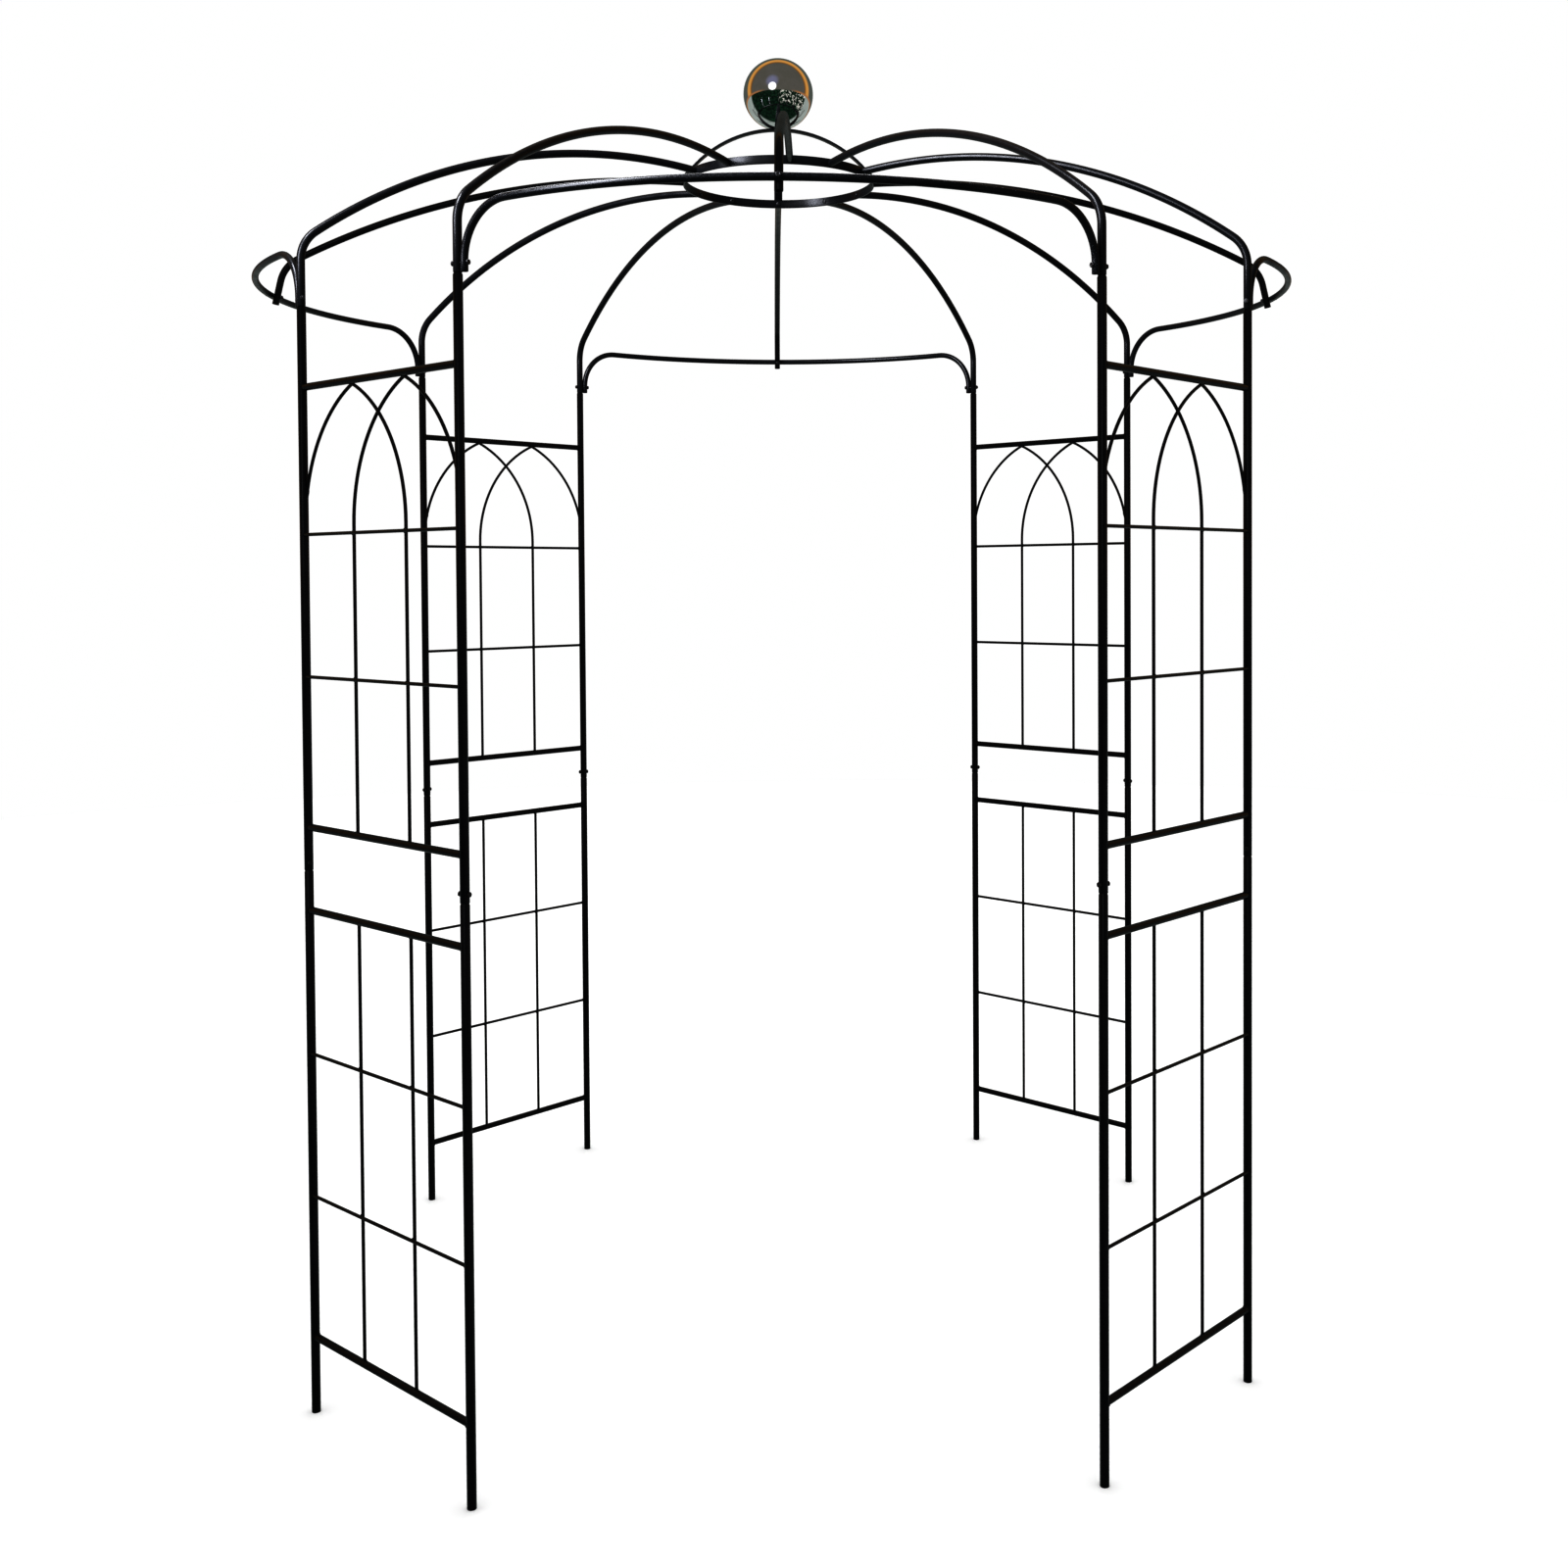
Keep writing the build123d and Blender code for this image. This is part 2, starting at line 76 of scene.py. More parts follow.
# ---- stock ------------------------------------------------------------------------------------
POST_R = 8 * MM
POST_RIB_R = 7.5 * MM
CENTRE_RIB_R = 7 * MM
BAR_R = 6.5 * MM
ROD_R = 3 * MM
WALL = 1.2 * MM
STRAP_WIDTH = 18 * MM
STRAP_THICKNESS = 4 * MM
SEAT_GAP = 0.1 * MM             # between a flat seat and the curved face it meets
RIM_SEAT_GAP = 0.3 * MM         # the same under the bolt heads on the rims
HEX_FLATS = 8 * MM
BOLT_R = 2.45 * MM
THREAD_R = 2.5 * MM
BOLT_HEAD = 3.5 * MM
NUT_HEIGHT = 4 * MM
BOLT_PAST_NUT = 1.5 * MM
SCREW_LENGTH = 16 * MM
SCREW_HEAD_R = 4.7 * MM
SCREW_HEAD = 2.6 * MM
BALL_BOLT_LENGTH = 16 * MM
BALL_BOLT_R = 3 * MM
BALL_BOLT_FLATS = 10 * MM
BALL_BOLT_HEAD = 4 * MM

# ---- places read from the frame ---------------------------------------------------------------
MID_JOINT_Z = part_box("upper_posts_front_left")[0].z
TOP_JOINT_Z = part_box("post_rib_front_left")[0].z
RING_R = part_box("crown_ring")[1].x
RING_TOP_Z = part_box("crown_ring")[1].z
RING_Z = (RING_TOP_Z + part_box("crown_ring")[0].z) / 2
RIM_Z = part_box("rim_front")[1].z - BAR_R
RIM_REACH = -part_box("rim_front")[0].y - BAR_R
LOWER_BARS_Z = bar_heights("lower_crossbars_front_left", BAR_R)
UPPER_BARS_Z = bar_heights("upper_crossbars_front_left", BAR_R)
BALL_BOLT_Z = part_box("crown_hoop_lower")[1].z - STRAP_THICKNESS - SEAT_GAP
HOOP_TURNS = {"crown_hoop_upper": 0, "crown_hoop_lower": 90}
HOOP_APEX_Z = {name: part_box(name)[1].z - STRAP_THICKNESS / 2 for name in HOOP_TURNS}
BALL_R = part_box("ball")[1].x
BALL_CENTRE = Vector((0, 0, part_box("ball")[1].z - BALL_R))

# ---- plan -------------------------------------------------------------------------------------
OPENING = 1060 * MM
PANEL_WIDTH = 490 * MM
PANEL_HALF = PANEL_WIDTH / 2
POST_FRONT = OPENING / 2 + PANEL_WIDTH / sqrt(2)
POST_REACH = sqrt((OPENING / 2) ** 2 + POST_FRONT**2)
POST_ANGLE = degrees(atan2(OPENING / 2, POST_FRONT))
PANEL_REACH = sqrt(POST_REACH**2 - PANEL_HALF**2)
SIDES = {"front": 0, "right": 90, "back": 180, "left": -90}
CORNERS = {"front_right": 45, "back_right": 135, "back_left": -135, "front_left": -45}
POST_NAMES = {
    "front": ("front_left", "front_right"),
    "right": ("right_front", "right_back"),
    "back": ("back_right", "back_left"),
    "left": ("left_back", "left_front"),
}

# ---- heights ----------------------------------------------------------------------------------
BOLT_ABOVE_JOINT = 14.5 * MM
LOWER_RODS_Z = (406 * MM, 670 * MM)
UPPER_RODS_Z = (1365 * MM, 1625 * MM)
SPRINGING_Z = 1640 * MM

# ---- shapes -----------------------------------------------------------------------------------
SPIGOT_TAPER = 4 * MM
BAR_SHORT = 3.5 * MM            # from a post's axis to the end of a level bar inside it
ROD_X = (-PANEL_WIDTH / 6, PANEL_WIDTH / 6)
ROD_OFFSET = ROD_R - 0.15 * MM
ARCH_R = 270 * MM
ARCH_EMERGES = sqrt(ARCH_R**2 - (ARCH_R - POST_R) ** 2)     # from springing to the post's surface
RIM_END_ANGLE = 36.5
RIM_BEND_R = 92 * MM
STUB_OFFSET = POST_RIB_R + BAR_R
RIB_BEND_R = 70 * MM
POST_RIB_ARC = (332 * MM, 1100 * MM)        # reach of the arc's centre, radius
CENTRE_RIB_ARC = (301 * MM, 1622 * MM)
CENTRE_RIB_LEAN = 13
CENTRE_RIB_TAIL = 17 * MM
FRONT_RIB_SKEW = -1.9
FRONT_RIB_PIVOT = 840 * MM
HOOP_SINK = 1.2 * MM
BAR_BEAD_R = 1.5 * MM
ROD_BEAD_R = 1.0 * MM
BORE_DEPTH = 25 * MM
LIP = 0.35 * MM
THREAD_SHOWN = 3.2 * MM

# ---- fineness ---------------------------------------------------------------------------------
TUBE_SIDES = 28
ROD_SIDES = 16
ARC_STEP = 14 * MM
BEND_STEP = 4.5                 # degrees
BEAD_STEPS = 36
FASTENER_SIDES = 48
RING_STEPS = 180
BALL_SIDES = 128
FLOOR_SIDES = 96
FLOOR_R = 9.0

# ---- edges at least this sharp, in degrees, stay sharp in the shading -------------------------
TUBE_SHARP = 38
WELD_SHARP = 60
FASTENER_SHARP = 30


# ---- mesh building ----------------------------------------------------------------------------
def skin(rings, loop=False):
    """Points and faces over a run of equal rings, capped at both ends or closed into a loop."""
    count = len(rings[0])
    points = [point for ring in rings for point in ring]
    faces = []
    spans = len(rings) if loop else len(rings) - 1
    for i in range(spans):
        a = i * count
        b = (i + 1) % len(rings) * count
        for k in range(count):
            n = (k + 1) % count
            faces.append((a + k, a + n, b + n, b + k))
    if not loop:
        faces.append(tuple(reversed(range(count))))
        last = (len(rings) - 1) * count
        faces.append(tuple(range(last, last + count)))
    return points, faces


def moved(shape, matrix):
    points, faces = shape
    return [matrix @ point for point in points], faces


def aimed(origin, direction):
    """Placement that turns a shape's +Z to a direction."""
    return Matrix.Translation(origin) @ direction.to_track_quat("Z", "Y").to_matrix().to_4x4()


def turned(angle):
    return Matrix.Rotation(radians(angle), 4, "Z")


def circle_outline(sides):
    return [(cos(2 * pi * k / sides), sin(2 * pi * k / sides)) for k in range(sides)]


def strap_outline():
    """Flat bar's section with rounded edges."""
    round_r = 0.8 * MM
    corners = [(1, 1, 0), (-1, 1, 90), (-1, -1, 180), (1, -1, 270)]
    outline = []
    for sx, sy, start in corners:
        cx = sx * (STRAP_THICKNESS / 2 - round_r)
        cy = sy * (STRAP_WIDTH / 2 - round_r)
        for step in range(4):
            a = radians(start + 30 * step)
            outline.append((cx + round_r * cos(a), cy + round_r * sin(a)))
    return outline


def sweep(stations, outline, side=None, loop=False):
    """Skin an outline along (point, tangent, scale) stations without twisting it."""
    rings = []
    tangent = stations[0][1]
    if side is None:
        side = tangent.orthogonal().normalized()
    for point, heading, scale in stations:
        side = tangent.rotation_difference(heading) @ side
        side = (side - side.project(heading)).normalized()
        across = heading.cross(side)
        rings.append([point + scale * (u * side + v * across) for u, v in outline])
        tangent = heading
    return skin(rings, loop)


def trace(start, heading, legs):
    """Points and tangents along straight legs (length,) and arc legs (radius, degrees, axis)."""
    point = Vector(start)
    heading = Vector(heading).normalized()
    samples = [(point.copy(), heading.copy())]
    for leg in legs:
        if len(leg) == 1:
            point = point + leg[0] * heading
            samples.append((point.copy(), heading.copy()))
            continue
        radius, angle, axis = leg
        steps = max(ceil(abs(angle) / BEND_STEP), ceil(radius * radians(abs(angle)) / ARC_STEP))
        centre = point + radius * axis.cross(heading) * (1 if angle > 0 else -1)
        for _ in range(steps):
            step = Matrix.Rotation(radians(angle) / steps, 3, axis)
            point = centre + step @ (point - centre)
            heading = step @ heading
            samples.append((point.copy(), heading.copy()))
    return samples


def open_start(samples, radius):
    """Stations of a tube's open first end: bore, cut face and eased edge."""
    point, heading = samples[0]
    return [
        (point + BORE_DEPTH * heading, heading, radius - WALL),
        (point + LIP * heading, heading, radius - WALL),
        (point, heading, radius - WALL + LIP),
        (point, heading, radius - LIP),
        (point + LIP / 3 * heading, heading, radius - LIP / 3),
        (point + LIP * heading, heading, radius),
    ]


def tube(samples, radius, open_ends=(True, True), sides=TUBE_SIDES):
    """Round tube whose open ends show the wall and a short bore."""
    body = [(point, heading, radius) for point, heading in samples]
    if open_ends[0]:
        body = open_start(samples, radius) + body[1:]
    if open_ends[1]:
        point, heading = samples[-1]
        mirrored = open_start([(point, -heading)], radius)
        body = body[:-1] + [(at, heading, scale) for at, _, scale in reversed(mirrored)]
    return sweep(body, circle_outline(sides))


def straight(start, end, radius, open_ends=(False, False), sides=TUBE_SIDES):
    start, end = Vector(start), Vector(end)
    run = end - start
    return tube(trace(start, run, [(run.length,)]), radius, open_ends, sides)


# ---- welds ------------------------------------------------------------------------------------
def ripple(point, seed):
    """Small uneven swelling of a bead at a place on it."""
    return noise.noise(point * 900 + Vector((seed, 0, 0)))


def bead(loop_points, radius, seed):
    """Closed weld bead along a loop of points."""
    stations = []
    count = len(loop_points)
    for i, point in enumerate(loop_points):
        heading = (loop_points[(i + 1) % count] - loop_points[i - 1]).normalized()
        scallop = 0.1 * sin(i * 2 * pi * 9 / count)
        stations.append((point, heading, radius * (1 + scallop + 0.28 * ripple(point, seed))))
    return sweep(stations, circle_outline(8), loop=True)


def saddle(host, host_axis, toward, bar_r, host_r, shift, radius):
    """Bead where a round bar running toward a round host meets it, its axis shifted sideways."""
    across = host_axis.cross(toward)
    points = []
    for k in range(BEAD_STEPS):
        a = 2 * pi * k / BEAD_STEPS
        w = shift + bar_r * cos(a)
        back = sqrt(max(host_r**2 - w**2, 0))
        points.append(host + bar_r * sin(a) * host_axis + w * across - back * toward)
    return bead(points, radius, random.uniform(0, 50))


def dab(centre, size, axis=UP):
    """Rounded spot of weld metal."""
    rings = []
    seed = random.uniform(0, 50)
    for i in range(1, 8):
        polar = pi * i / 8
        ring = []
        for k in range(12):
            a = 2 * pi * k / 12
            way = Vector((sin(polar) * cos(a), sin(polar) * sin(a), -cos(polar)))
            swell = 1 + 0.22 * noise.noise(way * 1.7 + Vector((seed, 0, 0)))
            ring.append(swell * Vector((way.x * size[0], way.y * size[1], way.z * size[2])))
        rings.append(ring)
    return moved(skin(rings), aimed(centre, axis))


# ---- fasteners --------------------------------------------------------------------------------
def hex_ring(flats, z, limit=None):
    """Ring of points round a hexagon, none of them further out than the limit."""
    ring = []
    for k in range(FASTENER_SIDES):
        a = 2 * pi * k / FASTENER_SIDES
        reach = flats / 2 / cos((a + pi / 6) % (pi / 3) - pi / 6)
        if limit is not None:
            reach = min(reach, limit)
        ring.append(Vector((reach * cos(a), reach * sin(a), z)))
    return ring


def round_ring(radius, z, sides=FASTENER_SIDES):
    return [Vector((radius * x, radius * y, z)) for x, y in circle_outline(sides)]


def chamfered_hex(flats, low, high):
    """Hexagonal prism whose corners are turned off at both faces."""
    land = 0.47 * flats
    drop = 0.09 * flats
    rings = []
    for step in range(5):
        rings.append(hex_ring(flats, low + drop * step / 4, land + 1.9 * drop * step / 4))
    for step in range(5):
        rings.append(hex_ring(flats, high - drop * (4 - step) / 4, land + 1.9 * drop * (4 - step) / 4))
    return rings


def hex_bolt(length, radius, flats, head):
    """Hexagon bolt along +Z, seated at the origin, with a turned dimple in its head."""
    rings = [round_ring(0.22 * flats, 0.12 * head - head), round_ring(0.3 * flats, -head)]
    rings += chamfered_hex(flats, -head, 0) + [round_ring(radius, 0)]
    rings += thread_rings(radius, length - THREAD_SHOWN, length)
    return skin(rings)


def thread_rings(radius, low, high):
    """Screw thread as close rounded grooves, with a pointed end."""
    pitch = 0.8 * MM
    depth = 0.08 * radius
    turns = int((high - low) / pitch)
    rings = []
    for step in range(2 * turns):
        rings.append(round_ring(radius - depth * (step % 2), low + pitch * step / 2))
    rings.append(round_ring(0.8 * radius, high))
    return rings


def hex_nut(flats, bore, height):
    """Hexagon nut along +Z, seated at the origin; its bore is filled by the bolt."""
    return skin([round_ring(bore, 0)] + chamfered_hex(flats, 0, height) + [round_ring(bore, height)])


def button_screw(length, radius, head_r, head):
    """Button head screw along +Z with a hexagon socket."""
    socket = 2.9 * MM
    rings = [hex_ring(socket, -0.35 * head), hex_ring(socket, -0.97 * head)]
    for step in range(7):
        a = pi / 2 * (1 - step / 6)
        rings.append(round_ring(socket / 2 * 1.3 + (head_r - socket / 2 * 1.3) * cos(a), -head * sin(a)))
    rings += [round_ring(radius, 0), round_ring(radius, length)]
    return skin(rings)


# ---- pieces -----------------------------------------------------------------------------------
def piece(name, shapes, material, nodes=(), sharp=TUBE_SHARP):
    """One object of several shapes that rides on the frame and stands for CAD nodes."""
    points = []
    faces = []
    for shape_points, shape_faces in shapes:
        base = len(points)
        points += shape_points
        faces += [tuple(base + i for i in face) for face in shape_faces]
    mesh = bpy.data.meshes.new(name)
    mesh.from_pydata(points, [], faces)
    mesh.validate()
    mesh.polygons.foreach_set("use_smooth", [True] * len(mesh.polygons))
    mesh.set_sharp_from_angle(angle=radians(sharp))
    mesh.materials.append(material)
    made = bpy.data.objects.new(name, mesh)
    bpy.context.scene.collection.objects.link(made)
    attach(made, "root")
    if nodes:
        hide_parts(*nodes)


# ---- node materials ---------------------------------------------------------------------------
class Nodes:
    """Short way to add and link the nodes of one tree."""

    def __init__(self, tree):
        self.tree = tree
        tree.nodes.clear()

    def add(self, kind, settings=None, **inputs):
        node = self.tree.nodes.new("ShaderNode" + kind)
        for name, value in (settings or {}).items():
            setattr(node, name, value)
        for name, value in inputs.items():
            socket = node.inputs[int(name[1:]) if name[1:].isdigit() else name.replace("_", " ")]
            if isinstance(value, bpy.types.NodeSocket):
                self.tree.links.new(value, socket)
            else:
                socket.default_value = value
        return node

    def math(self, operation, *values):
        settings = {"operation": operation}
        return self.add("Math", settings, **{f"_{i}": v for i, v in enumerate(values)}).outputs[0]

    def vector(self, operation, first, second):
        node = self.add("VectorMath", {"operation": operation}, _0=first, _1=second)
        return node.outputs["Value" if operation == "DOT_PRODUCT" else "Vector"]

    def ramp(self, value, low, high, to_low=0.0, to_high=1.0):
        """Smooth step from one value to another, held beyond both ends."""
        settings = {"interpolation_type": "SMOOTHSTEP"}
        limits = {"From_Min": low, "From_Max": high, "To_Min": to_low, "To_Max": to_high}
        return self.add("MapRange", settings, Value=value, **limits).outputs[0]

    def noise(self, vector, scale, detail=2.0, roughness=0.5):
        node = self.add("TexNoise", None, Vector=vector, Scale=scale, Detail=detail, Roughness=roughness)
        return node.outputs["Fac"]

    def mix(self, factor, first, second):
        node = self.add("Mix", {"data_type": "RGBA"}, _0=factor, _6=first, _7=second)
        return node.outputs[2]


def new_material(name):
    material = bpy.data.materials.new(name)
    material.use_nodes = True
    nodes = Nodes(material.node_tree)
    surface = nodes.add("BsdfPrincipled")
    output = nodes.add("OutputMaterial")
    material.node_tree.links.new(surface.outputs[0], output.inputs["Surface"])
    where = nodes.add("TexCoord").outputs["Object"]
    return material, nodes, surface, where


def feed(nodes, surface, **sources):
    for name, source in sources.items():
        nodes.tree.links.new(source, surface.inputs[name.replace("_", " ")])


def powder_coat(name, dark, light, dust, roughness, specular, peel):
    """Satin black coat: orange peel, uneven gloss, and a little dust on what faces up."""
    material, nodes, surface, where = new_material(name)
    surface.inputs["Specular IOR Level"].default_value = specular
    broad = nodes.noise(where, 7.0, 4.0, 0.6)
    fine = nodes.noise(where, 900.0, 2.0, 0.45)
    grains = nodes.noise(where, 160.0, 5.0, 0.7)
    up = nodes.add("SeparateXYZ", None, Vector=nodes.add("NewGeometry").outputs["Normal"]).outputs["Z"]
    settled = nodes.math("MULTIPLY", nodes.ramp(up, 0.35, 1.0), nodes.ramp(grains, 0.42, 0.72))
    coat = nodes.mix(nodes.ramp(broad, 0.35, 0.65), (*dark, 1), (*light, 1))
    colour = nodes.mix(nodes.math("MULTIPLY", settled, 0.45), coat, (*dust, 1))
    gloss = nodes.ramp(nodes.noise(where, 38.0, 4.0, 0.65), 0.3, 0.7, roughness[0], roughness[1])
    bump = nodes.add("Bump", None, Strength=peel, Distance=0.0004, Height=fine)
    feed(
        nodes,
        surface,
        Base_Color=colour,
        Roughness=nodes.math("MULTIPLY_ADD", settled, 0.06, gloss),
        Normal=bump.outputs["Normal"],
    )
    return material


def zinc_plate(name):
    """Bright zinc plated steel with fine turning marks and a clouded film."""
    material, nodes, surface, where = new_material(name)
    surface.inputs["Metallic"].default_value = 1.0
    clouds = nodes.noise(where, 120.0, 4.0, 0.6)
    fine = nodes.noise(where, 2400.0, 2.0, 0.5)
    bump = nodes.add("Bump", None, Strength=0.15, Distance=0.0002, Height=fine)
    feed(
        nodes,
        surface,
        Base_Color=nodes.mix(clouds, (0.52, 0.53, 0.56, 1), (0.7, 0.7, 0.71, 1)),
        Roughness=nodes.ramp(clouds, 0.25, 0.75, 0.24, 0.42),
        Normal=bump.outputs["Normal"],
    )
    return material


def mirror_polish(name):
    """Polished stainless ball: faint waves of the spun shell and a few dull patches."""
    material, nodes, surface, where = new_material(name)
    surface.inputs["Metallic"].default_value = 1.0
    waves = nodes.noise(where, 26.0, 1.0, 0.4)
    film = nodes.noise(where, 42.0, 5.0, 0.7)
    bump = nodes.add("Bump", None, Strength=0.05, Distance=0.004, Height=waves)
    feed(
        nodes,
        surface,
        Base_Color=nodes.mix(film, (0.9, 0.9, 0.89, 1), (0.82, 0.82, 0.82, 1)),
        Roughness=nodes.ramp(film, 0.35, 0.8, 0.012, 0.07),
        Normal=bump.outputs["Normal"],
    )
    return material


COAT = powder_coat(
    "black_powder_coat",
    dark=(0.0045, 0.005, 0.006),
    light=(0.0065, 0.007, 0.0085),
    dust=(0.03, 0.032, 0.034),
    roughness=(0.24, 0.34),
    specular=0.2,
    peel=0.01,
)
FASTENER_COAT = powder_coat(
    "black_fastener_coat",
    dark=(0.008, 0.008, 0.009),
    light=(0.014, 0.014, 0.015),
    dust=(0.06, 0.056, 0.05),
    roughness=(0.26, 0.4),
    specular=0.4,
    peel=0.05,
)
ZINC = zinc_plate("bright_zinc_plate")
MIRROR = mirror_polish("mirror_polished_steel")


# ---- panels -----------------------------------------------------------------------------------
def post(x, bottom, top, mating_r):
    """Panel post: open lower end, and a swaged top that goes on inside the tube above."""
    foot = Vector((x, -PANEL_REACH, bottom))
    spigot_r = mating_r - WALL - SEAT_GAP
    rise = top - bottom
    stations = open_start([(foot, UP)], POST_R)
    swage = [(rise - SPIGOT_TAPER, POST_R), (rise, spigot_r), (rise + BORE_DEPTH / 2, spigot_r)]
    stations += [(foot + height * UP, UP, radius) for height, radius in swage]
    return sweep(stations, circle_outline(TUBE_SIDES))


def across_panel(z, offset, radius, sides):
    """Level bar between the two posts' axes, short of them by what hides its ends in the posts."""
    reach = PANEL_HALF - BAR_SHORT
    y = -PANEL_REACH + offset
    return straight((-reach, y, z), (reach, y, z), radius, sides=sides)


def arch(x, legs):
    """Rod from a place on its straight part or springing, over the middle, to its arch's point."""
    side = 1 if x > 0 else -1
    apex = degrees(acos((ARCH_R - PANEL_WIDTH / 3) / ARCH_R))
    start = (x, -PANEL_REACH + ROD_OFFSET, SPRINGING_Z - sum(leg[0] for leg in legs))
    bow = (ARCH_R, side * apex, Vector((0, -1, 0)))
    return tube(trace(start, UP, legs + [bow]), ROD_R, (False, False), ROD_SIDES)


def lower_panel_rods():
    low, high = LOWER_BARS_Z
    y = -PANEL_REACH + ROD_OFFSET
    rods = [across_panel(z, -ROD_OFFSET, ROD_R, ROD_SIDES) for z in LOWER_RODS_Z]
    return rods + [straight((x, y, low), (x, y, high), ROD_R, sides=ROD_SIDES) for x in ROD_X]


def upper_panel_rods():
    rods = [across_panel(z, -ROD_OFFSET, ROD_R, ROD_SIDES) for z in UPPER_RODS_Z]
    rods += [arch(x, [(SPRINGING_Z - UPPER_BARS_Z[0],)]) for x in ROD_X]
    return rods + [arch(side * PANEL_HALF, []) for side in (-1, 1)]


def across_welds(heights, bar_r, offset, bead_r):
    """Beads at both ends of level bars."""
    beads = []
    for z in heights:
        for side in (-1, 1):
            host = Vector((side * PANEL_HALF, -PANEL_REACH, z))
            toward = Vector((side, 0, 0))
            beads.append(saddle(host, UP, toward, bar_r, POST_R, side * offset, bead_r))
    return beads


def upright_weld(x, z, way):
    """Bead where an upright rod meets a crossbar, running down (-1) or up (1) to it."""
    host = Vector((x, -PANEL_REACH, z))
    return saddle(host, Vector((1, 0, 0)), way * UP, ROD_R, BAR_R, -way * ROD_OFFSET, ROD_BEAD_R)


def panel_welds(bars, rods):
    """Welds that the lower and the upper half of a panel share."""
    beads = across_welds(bars, BAR_R, 0, BAR_BEAD_R) + across_welds(rods, ROD_R, -ROD_OFFSET, ROD_BEAD_R)
    for x in ROD_X:
        beads.append(upright_weld(x, bars[0], -1))
        for z in rods:
            beads.append(dab(Vector((x, -PANEL_REACH, z)), (4.2 * MM, 1.9 * MM, 4.2 * MM)))
    return beads


def lower_welds():
    beads = panel_welds(LOWER_BARS_Z, LOWER_RODS_Z)
    return beads + [upright_weld(x, LOWER_BARS_Z[1], 1) for x in ROD_X]


def upper_welds():
    beads = panel_welds(UPPER_BARS_Z, UPPER_RODS_Z)
    y = -PANEL_REACH + ROD_OFFSET
    for side in (-1, 1):
        tip = Vector((side * PANEL_WIDTH / 6, y, UPPER_BARS_Z[1] - BAR_R))
        beads.append(dab(tip, (7.5 * MM, 3.6 * MM, 3 * MM)))
        haunch = Vector((side * (PANEL_HALF - POST_R), y, SPRINGING_Z + ARCH_EMERGES))
        beads.append(dab(haunch, (2.6 * MM, 3.4 * MM, 11 * MM)))
    crossing = sqrt(ARCH_R**2 - (ARCH_R - PANEL_WIDTH / 6) ** 2)
    beads.append(dab(Vector((0, y, SPRINGING_Z + crossing)), (4.4 * MM, 3.3 * MM, 4.6 * MM)))
    return beads


PANEL_PARTS = {
    "lower_posts": [post(side * PANEL_HALF, 0, MID_JOINT_Z, POST_R) for side in (-1, 1)],
    "lower_crossbars": [across_panel(z, 0, BAR_R, TUBE_SIDES) for z in LOWER_BARS_Z],
    "lower_rods": lower_panel_rods(),
    "upper_posts": [post(side * PANEL_HALF, MID_JOINT_Z, TOP_JOINT_Z, POST_RIB_R) for side in (-1, 1)],
    "upper_crossbars": [across_panel(z, 0, BAR_R, TUBE_SIDES) for z in UPPER_BARS_Z],
    "upper_rods": upper_panel_rods(),
}

for corner, angle in CORNERS.items():
    place = turned(angle)
    for part, shapes in PANEL_PARTS.items():
        name = f"{part}_{corner}"
        piece(name + "_skin", [moved(shape, place) for shape in shapes], COAT, [name])
    for part, welds in (("lower_welds_", lower_welds()), ("upper_welds_", upper_welds())):
        piece(part + corner, [moved(weld, place) for weld in welds], COAT, sharp=WELD_SHARP)


# ---- rims -------------------------------------------------------------------------------------
def rim():
    """Foot beside one post, bend, level bow, bend, and foot beside the doorway's other post."""
    x = OPENING / 2 - STUB_OFFSET * cos(radians(POST_ANGLE))
    y = -POST_FRONT - STUB_OFFSET * sin(radians(POST_ANGLE))
    heading = radians(RIM_END_ANGLE)
    bow_r = (x - RIM_BEND_R * cos(heading)) / sin(heading)
    foot = (RIM_Z - RIM_BEND_R - TOP_JOINT_Z,)
    legs = [
        foot,
        (RIM_BEND_R, 90, Vector((sin(heading), cos(heading), 0))),
        (bow_r, 2 * RIM_END_ANGLE, UP),
        (RIM_BEND_R, 90, Vector((-sin(heading), cos(heading), 0))),
        foot,
    ]
    return tube(trace((-x, y, TOP_JOINT_Z), UP, legs), BAR_R)


for side, angle in SIDES.items():
    piece(f"rim_{side}_skin", [moved(rim(), turned(angle))], COAT, ["rim_" + side])


# ---- ribs -------------------------------------------------------------------------------------
def rib(foot_reach, foot_z, lean, arc, radius):
    """Leaning foot, small bend and long arc that ends in the thickness of the ring."""
    arc_reach, arc_r = arc
    tilt = radians(lean)
    along = Vector((-sin(tilt), cos(tilt)))
    arc_z = RING_Z - sqrt(arc_r**2 - (RING_R - arc_reach) ** 2)
    bend_reach = foot_reach - RIB_BEND_R * cos(tilt)
    bend_z = foot_z - RIB_BEND_R * sin(tilt)
    bend_from = Vector((bend_reach - arc_reach, bend_z - arc_z))
    half = bend_from.dot(along)
    run = -half + sqrt(half**2 - bend_from.length_squared + (arc_r - RIB_BEND_R) ** 2)
    bend_at = bend_from + run * along
    meet = degrees(atan2(bend_at.y, bend_at.x))
    finish = degrees(acos((RING_R - STRAP_THICKNESS / 2 - arc_reach) / arc_r))
    inward = Vector((-1, 0, 0))
    legs = [(run,), (RIB_BEND_R, meet - lean, inward), (arc_r, finish - meet, inward)]
    return tube(trace((0, -foot_reach, foot_z), (0, sin(tilt), cos(tilt)), legs), radius, (True, False))


def post_rib():
    return rib(POST_REACH, TOP_JOINT_Z, 0, POST_RIB_ARC, POST_RIB_R)


